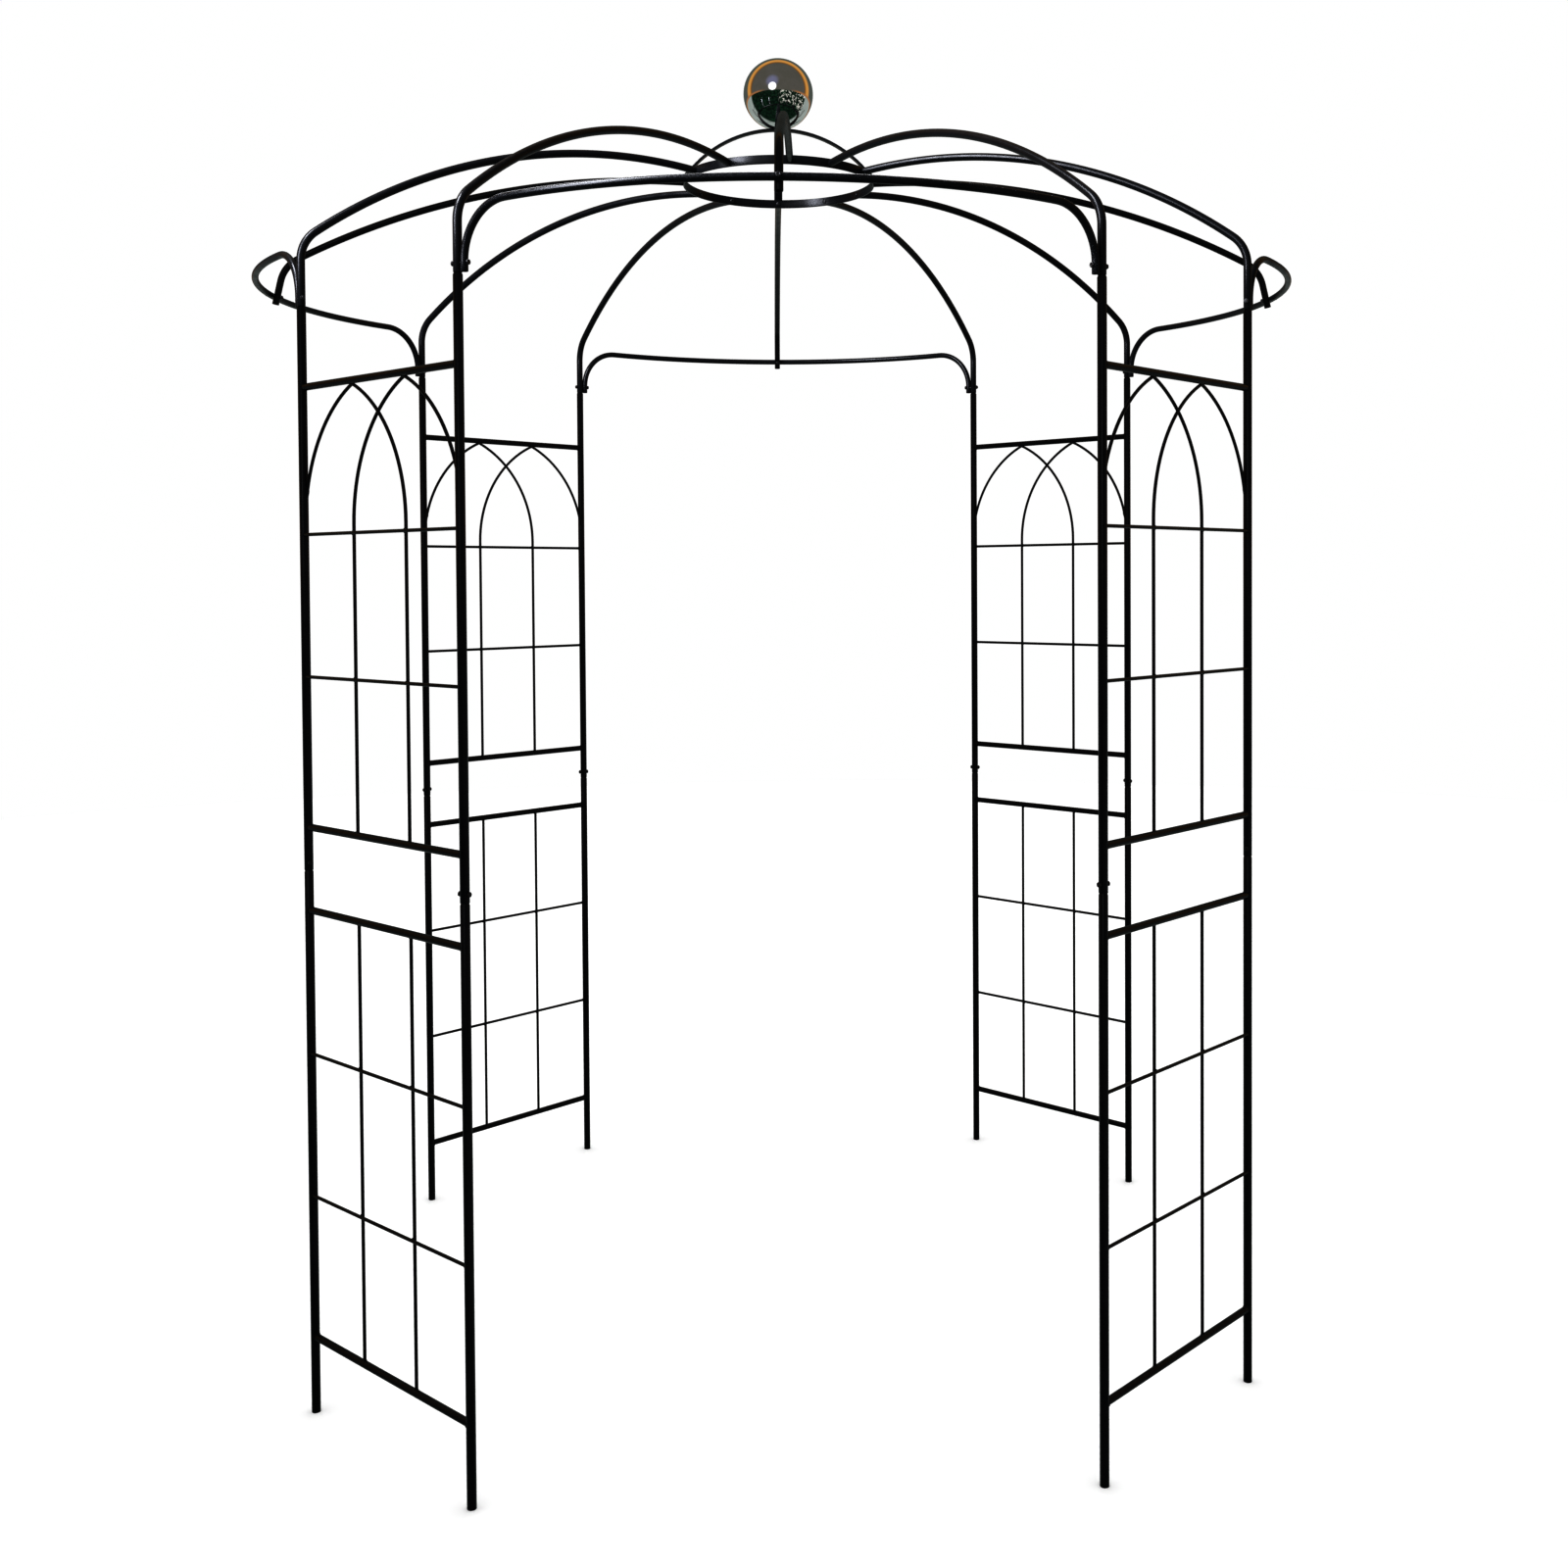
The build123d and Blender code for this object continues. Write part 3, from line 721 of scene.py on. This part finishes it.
def centre_rib():
    tilt = radians(CENTRE_RIB_LEAN)
    gap = BAR_R + CENTRE_RIB_R
    reach = RIM_REACH - gap * cos(tilt) + CENTRE_RIB_TAIL * sin(tilt)
    z = RIM_Z - gap * sin(tilt) - CENTRE_RIB_TAIL * cos(tilt)
    return rib(reach, z, CENTRE_RIB_LEAN, CENTRE_RIB_ARC, CENTRE_RIB_R)


def centre_rib_place(side):
    """Placement of a centre rib and its fasteners; the front one is askew."""
    if side != "front":
        return turned(SIDES[side])
    pivot = Matrix.Translation((0, FRONT_RIB_PIVOT, 0))
    return pivot.inverted() @ turned(FRONT_RIB_SKEW) @ pivot


rib_ends = []
for side, ends in POST_NAMES.items():
    for angle, name in zip((-POST_ANGLE, POST_ANGLE), ends):
        place = turned(SIDES[side] + angle)
        rib_ends.append(place @ Vector((0, -RING_R, 0)))
        shape = moved(post_rib(), place)
        piece(f"post_rib_{name}_skin", [shape], COAT, ["post_rib_" + name])
    place = centre_rib_place(side)
    rib_ends.append(place @ Vector((0, -RING_R, 0)))
    shape = moved(centre_rib(), place)
    piece(f"centre_rib_{side}_skin", [shape], COAT, ["centre_rib_" + side])


# ---- crown ------------------------------------------------------------------------------------
def crown_ring():
    reach = RING_R - STRAP_THICKNESS / 2
    stations = []
    for k in range(RING_STEPS):
        a = 2 * pi * k / RING_STEPS
        point = Vector((reach * cos(a), reach * sin(a), RING_Z))
        stations.append((point, Vector((-sin(a), cos(a), 0)), 1))
    return sweep(stations, strap_outline(), Vector((1, 0, 0)), loop=True)


def crown_hoop(apex_z):
    """Strap along X, bowed up from the ring's top edge, its ends sunk a little into the edge."""
    reach = RING_R - STRAP_THICKNESS / 2
    rise = apex_z - RING_TOP_Z
    radius = (reach**2 + rise**2) / (2 * rise)
    spread = degrees(acos((radius - rise) / radius)) + degrees(HOOP_SINK / radius)
    first = Matrix.Rotation(radians(-spread), 3, "Y")
    start = Vector((0, 0, apex_z - radius)) + first @ Vector((0, 0, radius))
    samples = trace(start, first @ Vector((1, 0, 0)), [(radius, 2 * spread, Vector((0, 1, 0)))])
    stations = [(point, heading, 1) for point, heading in samples]
    return sweep(stations, strap_outline(), first @ UP)


def hoop_welds():
    """Beads along both faces of a hoop's two feet."""
    beads = []
    for side in (-1, 1):
        for offset in (-2.6 * MM, 2.2 * MM):
            centre = Vector((side * (RING_R - STRAP_THICKNESS / 2 + offset), 0, RING_TOP_Z + 0.3 * MM))
            beads.append(dab(centre, (1.3 * MM, 8.4 * MM, 1.3 * MM)))
    return beads


piece("crown_ring_skin", [crown_ring()], COAT, ["crown_ring"])
for name, angle in HOOP_TURNS.items():
    place = turned(angle)
    piece(name + "_skin", [moved(crown_hoop(HOOP_APEX_Z[name]), place)], COAT, [name])
    welds = [moved(weld, place) for weld in hoop_welds()]
    piece(name + "_welds", welds, COAT, sharp=WELD_SHARP)


# ---- ball -------------------------------------------------------------------------------------
def ball():
    """Ball shell from the hole for its boss, with the hole's edge turned in, to a small top face."""
    top_angle = 0.004
    turned_in_z = -BALL_R * 0.9
    hole_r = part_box("ball_boss")[1].x + 0.15 * MM
    start = acos(-sqrt(1 - (hole_r / BALL_R) ** 2))
    rings = [round_ring(hole_r, turned_in_z, BALL_SIDES)]
    for step in range(BALL_SIDES // 2 + 1):
        a = start * (1 - step / (BALL_SIDES // 2)) + top_angle
        rings.append(round_ring(BALL_R * sin(a), BALL_R * cos(a), BALL_SIDES))
    return moved(skin(rings), Matrix.Translation(BALL_CENTRE))


piece("ball_skin", [ball()], MIRROR, ["ball"])


# ---- fasteners in place -----------------------------------------------------------------------
def fasten(name, placements, fastener):
    """One piece of equal fasteners, each turned by chance about its own axis."""
    shapes = []
    for place in placements:
        chance = Matrix.Rotation(random.uniform(0, 2 * pi), 4, "Z")
        shapes.append(moved(fastener, place @ chance))
    piece(name + "_skin", shapes, FASTENER_COAT, [name], sharp=FASTENER_SHARP)


def bolt_and_nut(prefix, seats, stack):
    """Bolts at their seats and nuts the thickness of the stack further on."""
    bolt = hex_bolt(stack + NUT_HEIGHT + BOLT_PAST_NUT, BOLT_R, HEX_FLATS, BOLT_HEAD)
    far = Matrix.Translation((0, 0, stack))
    fasten(prefix + "_bolts", seats, bolt)
    fasten(prefix + "_nuts", [seat @ far for seat in seats], hex_nut(HEX_FLATS, THREAD_R, NUT_HEIGHT))


def joint_seats(joint_z, near):
    """Bolt seats on the doorway side of every post at one height."""
    seats = []
    for angle in CORNERS.values():
        for side in (-1, 1):
            way = Vector((side * PANEL_REACH, PANEL_HALF, 0)) / POST_REACH
            centre = Vector((side * PANEL_HALF, -PANEL_REACH, joint_z + BOLT_ABOVE_JOINT))
            seats.append(turned(angle) @ aimed(centre + near * way, -way))
    return seats


def rim_seats():
    tilt = radians(CENTRE_RIB_LEAN)
    inward = Vector((0, cos(tilt), -sin(tilt)))
    seat = aimed(Vector((0, -RIM_REACH, RIM_Z)) - (BAR_R + RIM_SEAT_GAP) * inward, inward)
    return [centre_rib_place(side) @ seat for side in SIDES]


bolt_and_nut("mid_joint", joint_seats(MID_JOINT_Z, POST_R), 2 * POST_R)
top_seats = joint_seats(TOP_JOINT_Z, STUB_OFFSET + BAR_R + SEAT_GAP)
bolt_and_nut("top_joint", top_seats, 2 * STUB_OFFSET + SEAT_GAP)
bolt_and_nut("rim_rib", rim_seats(), 2 * (BAR_R + CENTRE_RIB_R) + RIM_SEAT_GAP + SEAT_GAP)

seats = []
for end in rib_ends:
    outward = end.normalized()
    seats.append(aimed((RING_R - STRAP_THICKNESS - SEAT_GAP) * outward + RING_Z * UP, outward))
fasten("ring_screws", seats, button_screw(SCREW_LENGTH, BOLT_R, SCREW_HEAD_R, SCREW_HEAD))
ball_bolt = hex_bolt(BALL_BOLT_LENGTH, BALL_BOLT_R, BALL_BOLT_FLATS, BALL_BOLT_HEAD)
fasten("ball_bolt", [aimed(BALL_BOLT_Z * UP, UP)], ball_bolt)

# the CAD nodes that show as they are
for name in ("rib_end_plugs", "ball_boss"):
    mesh = bpy.data.objects[name].data
    mesh.materials.clear()
    mesh.materials.append(ZINC)


# ---- floor, light and camera ------------------------------------------------------------------
def floor():
    """Large pale disc on which the pavilion stands."""
    points, faces = skin([round_ring(FLOOR_R * scale, 0, FLOOR_SIDES) for scale in (0.02, 1)])
    mesh = bpy.data.meshes.new("floor")
    mesh.from_pydata(points, [], faces[:-1])        # the last face would cover the disc a second time
    material, nodes, surface, where = new_material("pale_floor")
    surface.inputs["Roughness"].default_value = 0.9
    surface.inputs["Specular IOR Level"].default_value = 0.1
    pale = nodes.mix(nodes.noise(where, 3.0), (0.93, 0.93, 0.93, 1), (0.95, 0.95, 0.95, 1))
    feed(nodes, surface, Base_Color=pale)
    mesh.materials.append(material)
    made = bpy.data.objects.new("floor", mesh)
    bpy.context.scene.collection.objects.link(made)
    made.visible_glossy = False


floor()


def lamp(name, place, at, size, power, colour, lit):
    """Rectangular softbox that lights the pieces of one collection."""
    data = bpy.data.lights.new(name, "AREA")
    data.shape = "RECTANGLE"
    data.size, data.size_y = size
    data.energy = power
    data.color = colour
    made = bpy.data.objects.new(name, data)
    made.matrix_world = aimed(Vector(place), Vector(place) - Vector(at))
    bpy.context.scene.collection.objects.link(made)
    made.light_linking.receiver_collection = lit


def lit_pieces(name, prefixes):
    """Collection of the pieces whose names begin with one of the prefixes, for a lamp to light."""
    chosen = bpy.data.collections.new(name)
    for made in bpy.data.objects:
        if made.name.startswith(prefixes):
            chosen.objects.link(made)
    return chosen


roof = lit_pieces("roof_pieces", ("rim_", "post_rib_", "crown_", "ring_", "top_joint_"))
front_rim = lit_pieces("front_rim", ("rim_front",))
softboxes = [
    # name, place, aimed at, size, power, colour, pieces lit
    ("softbox_left", (-3.0, -2.6, 3.4), (-0.3, -0.6, 2.2), (1.2, 1.8), 340, (0.88, 0.9, 1), roof),
    ("softbox_above", (-1.85, -1.5, 4.5), (-0.5, -0.7, 2.2), (1.1, 1.1), 240, (0.92, 0.94, 1), roof),
    ("softbox_behind", (-0.45, 1.5, 4.5), (-0.2, -1.0, 2.2), (2.4, 1.8), 80, (0.95, 0.96, 1), front_rim),
]
for softbox in softboxes:
    lamp(*softbox)


# directions in the mirrored hall
PAVING_WAY = Vector((-0.0068, -0.9607, -0.2771))
ARCH_WAY = Vector((-0.006, -0.988, 0.155))
GLOW_WAY = Vector((-0.31, -0.8, 0.5))
WINDOW_WAY = Vector((-0.33, -0.92, 0.21))


def sky_patch(nodes, way, direction, inner, outer):
    """1 within an angle of a direction, fading to 0 at a wider angle, both in degrees."""
    along = nodes.vector("DOT_PRODUCT", way, direction.normalized())
    return nodes.ramp(along, cos(radians(outer)), cos(radians(inner)))


def garden_hall(nodes, way, height):
    """What polished metal mirrors: dim hall, warm arch behind, window, dark lawn and pale paving."""
    along = nodes.vector("DOT_PRODUCT", way, PAVING_WAY)
    clouds = nodes.noise(way, 2.2, 3.0, 0.6)
    hall = nodes.mix(clouds, (0.19, 0.19, 0.155, 1), (0.26, 0.245, 0.23, 1))
    arch_axis = nodes.vector("DOT_PRODUCT", way, ARCH_WAY)
    warm = nodes.mix(nodes.ramp(arch_axis, -0.08, -0.28), (0.34, 0.17, 0.05, 1), (0.84, 0.5, 0.18, 1))
    above = nodes.mix(nodes.ramp(arch_axis, -0.02, -0.17), hall, warm)
    above = nodes.mix(nodes.ramp(arch_axis, -0.41, -0.53), above, (0.2, 0.22, 0.2, 1))
    skirting = nodes.math("MULTIPLY", nodes.ramp(height, 0.11, 0.03), nodes.ramp(along, 0.75, 0.3))
    above = nodes.mix(skirting, above, (0.6, 0.33, 0.17, 1))
    glow = sky_patch(nodes, way, GLOW_WAY, 4, 24)
    above = nodes.mix(nodes.math("MULTIPLY", glow, 0.6), above, (0.42, 0.43, 0.66, 1))
    shrubs = nodes.noise(way, 9.0, 4.0, 0.7)
    lawn = nodes.mix(nodes.ramp(shrubs, 0.4, 0.75), (0.012, 0.03, 0.02, 1), (0.04, 0.13, 0.07, 1))
    right_side = nodes.ramp(nodes.vector("DOT_PRODUCT", way, Vector((1, 0, 0))), -0.05, 0.15)
    glints = nodes.ramp(nodes.noise(way, 8.5, 3.0, 0.65), 0.51, 0.58)
    near_horizon = nodes.ramp(height, -0.72, -0.5)
    glints = nodes.math("MULTIPLY", nodes.math("MULTIPLY", glints, right_side), near_horizon)
    lawn = nodes.mix(glints, lawn, (0.9, 0.88, 0.82, 1))
    paving = nodes.mix(nodes.noise(way, 5.0, 4.0, 0.7), (0.38, 0.45, 0.42, 1), (0.66, 0.7, 0.68, 1))
    below = nodes.mix(nodes.ramp(along, -0.1, -0.24), lawn, paving)
    whole = nodes.mix(nodes.ramp(height, -0.02, 0.02), below, above)
    window = sky_patch(nodes, way, WINDOW_WAY, 7, 15)
    return nodes.mix(window, whole, (2.4, 2.4, 2.4, 1))


def world():
    """White to the camera, even white for diffuse light, and the hall for reflections."""
    made = bpy.data.worlds.new("studio")
    bpy.context.scene.world = made
    made.use_nodes = True
    nodes = Nodes(made.node_tree)
    way = nodes.add("TexCoord").outputs["Generated"]
    height = nodes.add("SeparateXYZ", None, Vector=way).outputs["Z"]
    path = nodes.add("LightPath")
    seen = nodes.add("Background", None, Color=(1, 1, 1, 1), Strength=1.0).outputs[0]
    soft = nodes.add("Background", None, Color=(1, 1, 1, 1), Strength=1.22).outputs[0]
    mirrored = nodes.add("Background", None, Color=garden_hall(nodes, way, height), Strength=1.0).outputs[0]
    lit = nodes.add("MixShader", None, _0=path.outputs["Is Glossy Ray"], _1=soft, _2=mirrored).outputs[0]
    final = nodes.add("MixShader", None, _0=path.outputs["Is Camera Ray"], _1=lit, _2=seen).outputs[0]
    nodes.add("OutputWorld", None, Surface=final)


world()
bpy.context.scene.view_settings.view_transform = "Standard"
bpy.context.scene.view_settings.gamma = 0.6

camera_data = bpy.data.cameras.new("camera")
camera_data.sensor_width = 36
camera_data.lens = 38.25
camera_data.shift_x = -0.049
camera_data.shift_y = -0.105
camera = bpy.data.objects.new("camera", camera_data)
right = Vector((0.99849151, -0.05460986, -0.0056983))
upward = Vector((0.0070096, 0.02385082, 0.99969095))
forward = Vector((0.05445707, 0.99822287, -0.02419764))
aim = Matrix((right, upward, -forward)).transposed().to_4x4()
camera.matrix_world = Matrix.Translation((-0.0258, -3.6365, 1.5382)) @ aim
bpy.context.scene.collection.objects.link(camera)
bpy.context.scene.camera = camera
